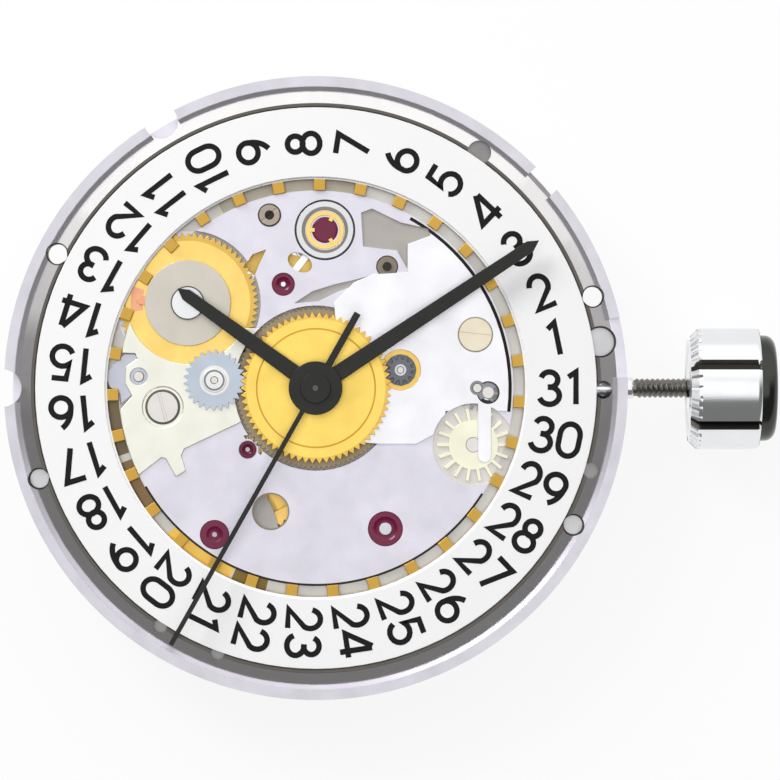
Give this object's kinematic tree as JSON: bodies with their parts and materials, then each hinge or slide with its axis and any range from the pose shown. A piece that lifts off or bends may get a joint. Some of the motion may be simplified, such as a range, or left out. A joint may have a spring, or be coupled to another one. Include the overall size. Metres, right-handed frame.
{
  "type": "mechanical watch movement",
  "caption": "Round automatic date movement seen from the dial side: toothed date ring, calendar and minute trains, three hands, balance, rotor, and a stem with a ribbed knob.",
  "frame": {"origin": "on the hands' axis, at the dial seat on top of the rim", "axes": "+X along the stem towards the knob, +Y to twelve o'clock, +Z out of the dial side"},
  "size_m": [0.0325, 0.0262, 0.0057],
  "materials": {
    "mainplate": "pale rhodium plating, fine grain",
    "date_ring": "white printed disc",
    "date_driving_wheel": "yellow gilt",
    "date_finger": "copper-coloured",
    "date_disc": "grey satin",
    "intermediate_date_wheel": "blue-grey satin",
    "date_jumper": "grey satin",
    "jumper_cover_plate": "cream nickel",
    "calendar_cover_plate": "silver, fine grain",
    "corrector_wheel": "pale cream gilt",
    "hour_wheel": "yellow gilt",
    "cannon_pinion": "polished steel",
    "cannon_driving_wheel": "dull grey-brown brass",
    "minute_wheel": "gilt with a steel pinion",
    "setting_wheel": "steel",
    "centre_tube": "turned brass",
    "hour_hand": "near-black lacquer",
    "minute_hand": "near-black lacquer",
    "seconds_hand": "near-black lacquer",
    "dial_side_jewels": "red synthetic ruby",
    "dial_side_screws": "polished heads",
    "third_wheel": "gilt",
    "seconds_wheel": "gilt",
    "escape_wheel": "polished steel",
    "great_wheel": "gilt",
    "barrel_drum": "gilt",
    "barrel_cover": "gilt",
    "mainspring": "spring steel",
    "barrel_arbor": "steel",
    "ratchet_wheel": "sunburst steel",
    "crown_wheel": "sunburst steel",
    "click": "steel",
    "pallet_fork": "polished steel",
    "pallet_stones": "red synthetic ruby",
    "pallet_bridge": "gilt",
    "balance_wheel": "gilt",
    "roller": "steel",
    "hairspring": "spring alloy",
    "balance_cock": "rhodium, fine grain",
    "regulator": "polished steel",
    "shock_settings": "turned steel",
    "shock_springs": "gilt spring",
    "train_bridge": "rhodium, fine grain",
    "barrel_bridge": "rhodium, fine grain",
    "automatic_bridge": "rhodium, fine grain",
    "first_reverser": "red-anodised look",
    "second_reverser": "red-anodised look",
    "reduction_wheel": "gilt",
    "rotor_bearing": "polished steel",
    "rotor_gear": "steel",
    "rotor_plate": "rhodium, fine grain",
    "rotor_weight": "heavy alloy, satin",
    "bridge_jewels": "red synthetic ruby",
    "bridge_screws": "polished heads",
    "winding_stem": "polished steel",
    "winding_pinion": "steel",
    "sliding_pinion": "steel",
    "setting_lever": "steel",
    "yoke": "steel",
    "crown": "polished steel"
  },
  "bodies": {
    "movement": {"mainplate": "mainplate", "jumper_cover_plate": "jumper_cover_plate", "calendar_cover_plate": "calendar_cover_plate", "centre_tube": "centre_tube", "dial_side_jewels": "dial_side_jewels", "dial_side_screws": "dial_side_screws", "pallet_bridge": "pallet_bridge", "hairspring": "hairspring", "balance_cock": "balance_cock", "shock_settings": "shock_settings", "shock_springs": "shock_springs", "train_bridge": "train_bridge", "barrel_bridge": "barrel_bridge", "automatic_bridge": "automatic_bridge", "rotor_bearing": "rotor_bearing", "bridge_jewels": "bridge_jewels", "bridge_screws": "bridge_screws"},
    "date_ring": {"date_ring": "date_ring"},
    "date_wheel": {"date_driving_wheel": "date_driving_wheel", "date_finger": "date_finger", "date_disc": "date_disc"},
    "intermediate_date_wheel": {"intermediate_date_wheel": "intermediate_date_wheel"},
    "date_jumper": {"date_jumper": "date_jumper"},
    "corrector_wheel": {"corrector_wheel": "corrector_wheel"},
    "hour": {"hour_wheel": "hour_wheel", "hour_hand": "hour_hand"},
    "minute": {"cannon_pinion": "cannon_pinion", "cannon_driving_wheel": "cannon_driving_wheel", "minute_hand": "minute_hand"},
    "minute_wheel": {"minute_wheel": "minute_wheel"},
    "setting_wheel": {"setting_wheel": "setting_wheel"},
    "seconds": {"seconds_wheel": "seconds_wheel", "seconds_hand": "seconds_hand"},
    "third_wheel": {"third_wheel": "third_wheel"},
    "escape_wheel": {"escape_wheel": "escape_wheel"},
    "great_wheel": {"great_wheel": "great_wheel"},
    "barrel": {"barrel_drum": "barrel_drum", "barrel_cover": "barrel_cover", "mainspring": "mainspring"},
    "barrel_arbor": {"barrel_arbor": "barrel_arbor", "ratchet_wheel": "ratchet_wheel"},
    "crown_wheel": {"crown_wheel": "crown_wheel"},
    "click": {"click": "click"},
    "fork": {"pallet_fork": "pallet_fork", "pallet_stones": "pallet_stones"},
    "balance": {"balance_wheel": "balance_wheel", "roller": "roller"},
    "regulator": {"regulator": "regulator"},
    "first_reverser": {"first_reverser": "first_reverser"},
    "second_reverser": {"second_reverser": "second_reverser"},
    "reduction_wheel": {"reduction_wheel": "reduction_wheel"},
    "rotor": {"rotor_gear": "rotor_gear", "rotor_plate": "rotor_plate", "rotor_weight": "rotor_weight"},
    "winding_pinion": {"winding_pinion": "winding_pinion"},
    "stem": {"winding_stem": "winding_stem", "crown": "crown"},
    "sliding_pinion": {"sliding_pinion": "sliding_pinion"},
    "setting_lever": {"setting_lever": "setting_lever"},
    "yoke": {"yoke": "yoke"}
  },
  "joints": [
    {"name": "minute_hand_turn", "type": "hinge", "parent": "movement", "child": "minute", "pos_m": [0, 0, -0.0005], "axis": [0, 0, 1], "continuous": true},
    {"name": "hour_hand_turn", "type": "hinge", "parent": "movement", "child": "hour", "pos_m": [0, 0, -0.0005], "axis": [0, 0, 1], "continuous": true},
    {"name": "minute_wheel_turn", "type": "hinge", "parent": "movement", "child": "minute_wheel", "pos_m": [0.00355, 0.00076, -0.0005], "axis": [0, 0, 1], "continuous": true},
    {"name": "setting_wheel_turn", "type": "hinge", "parent": "movement", "child": "setting_wheel", "pos_m": [0.00678, 0, -0.0005], "axis": [0, 0, 1], "continuous": true},
    {"name": "intermediate_date_wheel_turn", "type": "hinge", "parent": "movement", "child": "intermediate_date_wheel", "pos_m": [-0.00427, 0.00033, -0.0005], "axis": [0, 0, 1], "continuous": true},
    {"name": "date_wheel_turn", "type": "hinge", "parent": "movement", "child": "date_wheel", "pos_m": [-0.00539, 0.00358, -0.0005], "axis": [0, 0, 1], "continuous": true},
    {"name": "third_wheel_turn", "type": "hinge", "parent": "movement", "child": "third_wheel", "pos_m": [-0.00288, -0.00259, -0.0005], "axis": [0, 0, 1], "continuous": true},
    {"name": "seconds_hand_turn", "type": "hinge", "parent": "movement", "child": "seconds", "pos_m": [0, 0, -0.0005], "axis": [0, 0, 1], "continuous": true},
    {"name": "escape_wheel_turn", "type": "hinge", "parent": "movement", "child": "escape_wheel", "pos_m": [-0.00322, 0.00171, -0.0005], "axis": [0, 0, 1], "continuous": true},
    {"name": "great_wheel_turn", "type": "hinge", "parent": "movement", "child": "great_wheel", "pos_m": [-0.00427, -0.00617, -0.0005], "axis": [0, 0, 1], "continuous": true},
    {"name": "barrel_turn", "type": "hinge", "parent": "movement", "child": "barrel", "pos_m": [0.00292, -0.00592, -0.002], "axis": [0, 0, 1], "continuous": true},
    {"name": "date_ring_turn", "type": "hinge", "parent": "movement", "child": "date_ring", "pos_m": [0, 0, -0.0005], "axis": [0, 0, 1], "continuous": true},
    {"name": "date_jumper_swing", "type": "hinge", "parent": "movement", "child": "date_jumper", "pos_m": [-0.00746, 0.00049, -0.0005], "axis": [0, 0, 1], "range_deg": [0, 4]},
    {"name": "corrector_turn", "type": "hinge", "parent": "movement", "child": "corrector_wheel", "pos_m": [0.00662, -0.00239, -0.0005], "axis": [0, 0, 1], "continuous": true},
    {"name": "fork_swing", "type": "hinge", "parent": "movement", "child": "fork", "pos_m": [-0.00138, 0.00437, -0.0016], "axis": [0, 0, 1], "range_deg": [-5, 5]},
    {"name": "balance_swing", "type": "hinge", "parent": "movement", "child": "balance", "pos_m": [0.00037, 0.00666, -0.0021], "axis": [0, 0, 1], "range_deg": [-270, 270]},
    {"name": "regulator_swing", "type": "hinge", "parent": "movement", "child": "regulator", "pos_m": [0.00037, 0.00666, -0.0028], "axis": [0, 0, 1], "range_deg": [-12, 12]},
    {"name": "crown_turn", "type": "hinge", "parent": "movement", "child": "winding_pinion", "pos_m": [0.0079, 0, -0.00175], "axis": [1, 0, 0], "continuous": true},
    {"name": "stem_pull", "type": "slide", "parent": "winding_pinion", "child": "stem", "axis": [1, 0, 0], "range_m": [0, 0.0009]},
    {"name": "sliding_pinion_slide", "type": "slide", "parent": "winding_pinion", "child": "sliding_pinion", "axis": [1, 0, 0], "range_m": [-0.000495, 0]},
    {"name": "setting_lever_swing", "type": "hinge", "parent": "movement", "child": "setting_lever", "pos_m": [0.0099, 0.0019, -0.00115], "axis": [0, 0, 1], "range_deg": [0, 26.64]},
    {"name": "yoke_swing", "type": "hinge", "parent": "movement", "child": "yoke", "pos_m": [0.0062, 0.0026, -0.00115], "axis": [0, 0, 1], "range_deg": [-10.91, 0]},
    {"name": "crown_wheel_turn", "type": "hinge", "parent": "movement", "child": "crown_wheel", "pos_m": [0.00507, 0, -0.0027], "axis": [0, 0, 1], "continuous": true},
    {"name": "ratchet_turn", "type": "hinge", "parent": "movement", "child": "barrel_arbor", "pos_m": [0.00292, -0.00592, -0.0027], "axis": [0, 0, 1], "continuous": true},
    {"name": "click_swing", "type": "hinge", "parent": "movement", "child": "click", "pos_m": [0.00527, -0.00999, -0.0027], "axis": [0, 0, 1], "range_deg": [-8, 0]},
    {"name": "rotor_turn", "type": "hinge", "parent": "movement", "child": "rotor", "pos_m": [0, 0, -0.0032], "axis": [0, 0, 1], "continuous": true},
    {"name": "first_reverser_turn", "type": "hinge", "parent": "movement", "child": "first_reverser", "pos_m": [-0.00198, -0.00198, -0.0029], "axis": [0, 0, 1], "continuous": true},
    {"name": "second_reverser_turn", "type": "hinge", "parent": "movement", "child": "second_reverser", "pos_m": [-0.00442, -0.00109, -0.0029], "axis": [0, 0, 1], "continuous": true},
    {"name": "reduction_wheel_turn", "type": "hinge", "parent": "movement", "child": "reduction_wheel", "pos_m": [-0.00122, -0.00519, -0.0029], "axis": [0, 0, 1], "continuous": true}
  ],
  "couplings": [
    {"joint": "hour_hand_turn", "follows": "minute_hand_turn", "ratio": 0.083333},
    {"joint": "minute_wheel_turn", "follows": "minute_hand_turn", "ratio": -0.45833},
    {"joint": "setting_wheel_turn", "follows": "minute_hand_turn", "ratio": 1.375},
    {"joint": "intermediate_date_wheel_turn", "follows": "minute_hand_turn", "ratio": -0.21154},
    {"joint": "date_wheel_turn", "follows": "minute_hand_turn", "ratio": 0.041667},
    {"joint": "third_wheel_turn", "follows": "minute_hand_turn", "ratio": -7},
    {"joint": "seconds_hand_turn", "follows": "minute_hand_turn", "ratio": 60},
    {"joint": "escape_wheel_turn", "follows": "minute_hand_turn", "ratio": -720},
    {"joint": "great_wheel_turn", "follows": "minute_hand_turn", "ratio": 1.0103},
    {"joint": "barrel_turn", "follows": "minute_hand_turn", "ratio": -0.33677},
    {"joint": "crown_wheel_turn", "follows": "crown_turn", "ratio": 0.3},
    {"joint": "ratchet_turn", "follows": "crown_turn", "ratio": -0.24},
    {"joint": "sliding_pinion_slide", "follows": "stem_pull", "ratio": -0.55},
    {"joint": "setting_lever_swing", "follows": "stem_pull", "rad_per_m": 516.62},
    {"joint": "yoke_swing", "follows": "stem_pull", "rad_per_m": -211.38},
    {"joint": "first_reverser_turn", "follows": "rotor_turn", "ratio": -1.1538},
    {"joint": "second_reverser_turn", "follows": "rotor_turn", "ratio": 1.1538},
    {"joint": "reduction_wheel_turn", "follows": "rotor_turn", "ratio": 0.75}
  ]
}
